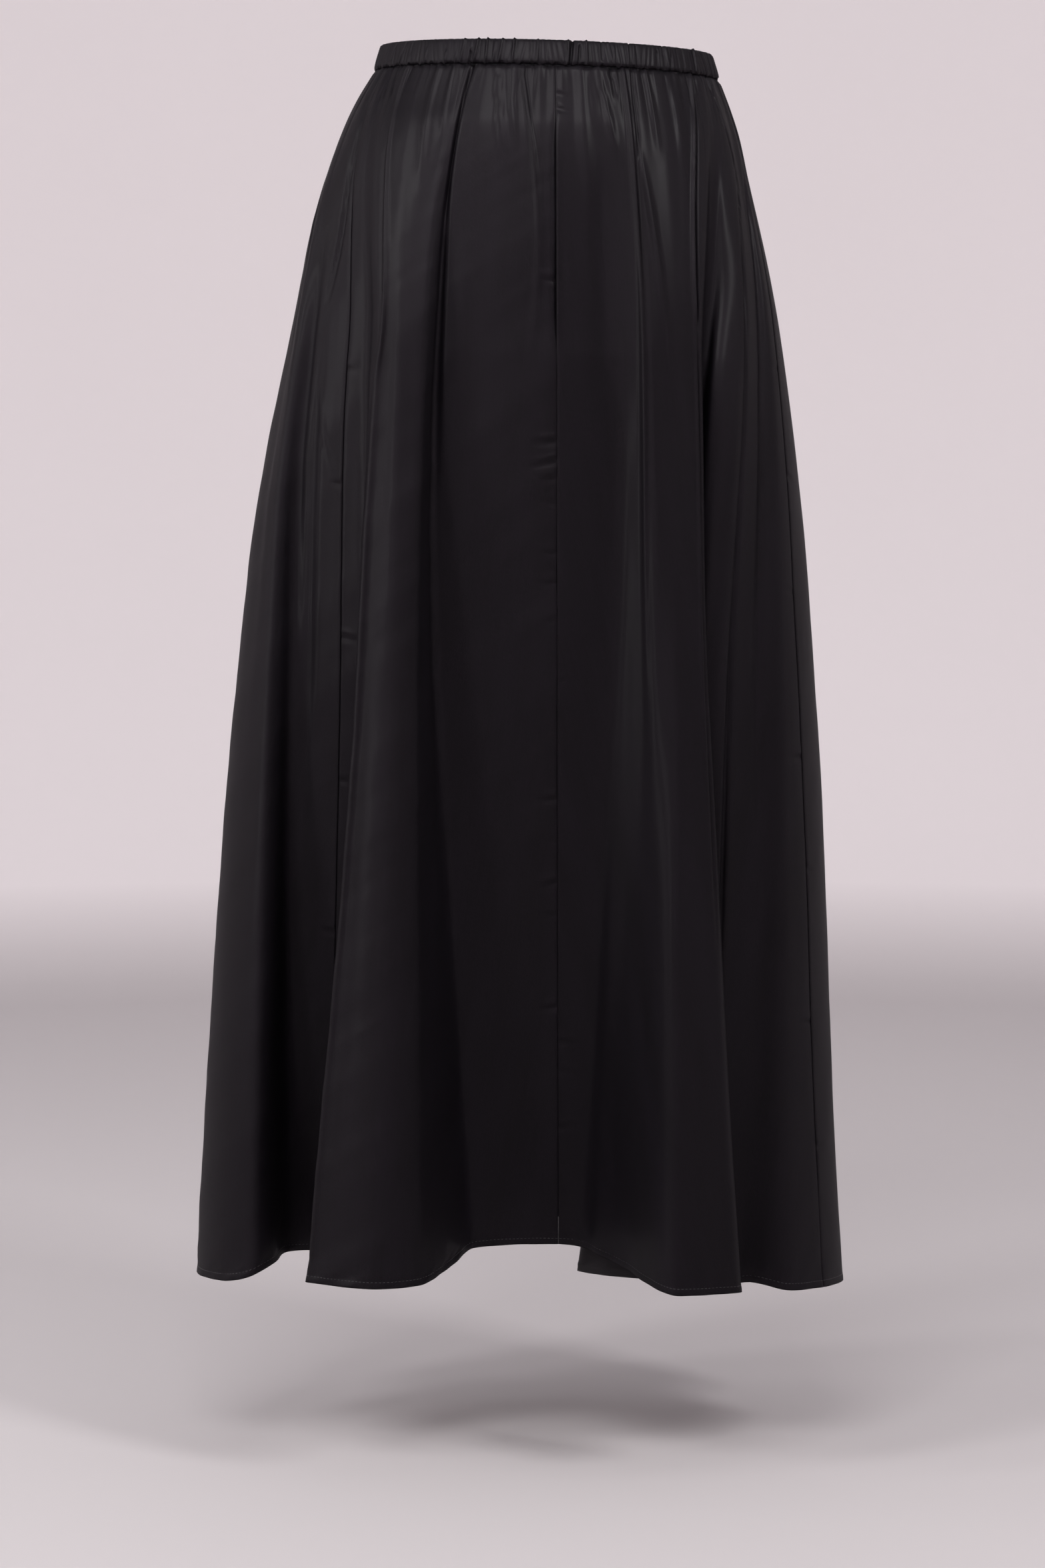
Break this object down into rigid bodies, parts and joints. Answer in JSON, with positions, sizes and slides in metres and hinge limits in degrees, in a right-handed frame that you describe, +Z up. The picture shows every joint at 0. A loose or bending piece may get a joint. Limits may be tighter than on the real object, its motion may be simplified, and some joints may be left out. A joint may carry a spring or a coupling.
{
  "type": "maxi skirt",
  "caption": "Worn flared maxi skirt in satin: four panels gathered into an elastic casing at the waist, hanging in deep folds to an uneven hem, hollow and open at waist and hem.",
  "frame": {"origin": "the middle of the waistband, where the wearer's waist holds the skirt up", "axes": "+Z up along the skirt's length; the wearer faces -Y; +X is the wearer's left"},
  "size_m": [0.5125, 0.3684, 0.9764],
  "materials": {
    "satin": "black crepe-backed satin, soft sheen on the outside",
    "satin_casing": "the same satin, closely gathered over elastic"
  },
  "bodies": {
    "root": {"front_panel_left": "satin", "front_panel_right": "satin", "back_panel_left": "satin", "back_panel_right": "satin", "waistband": "satin_casing"}
  },
  "joints": []
}
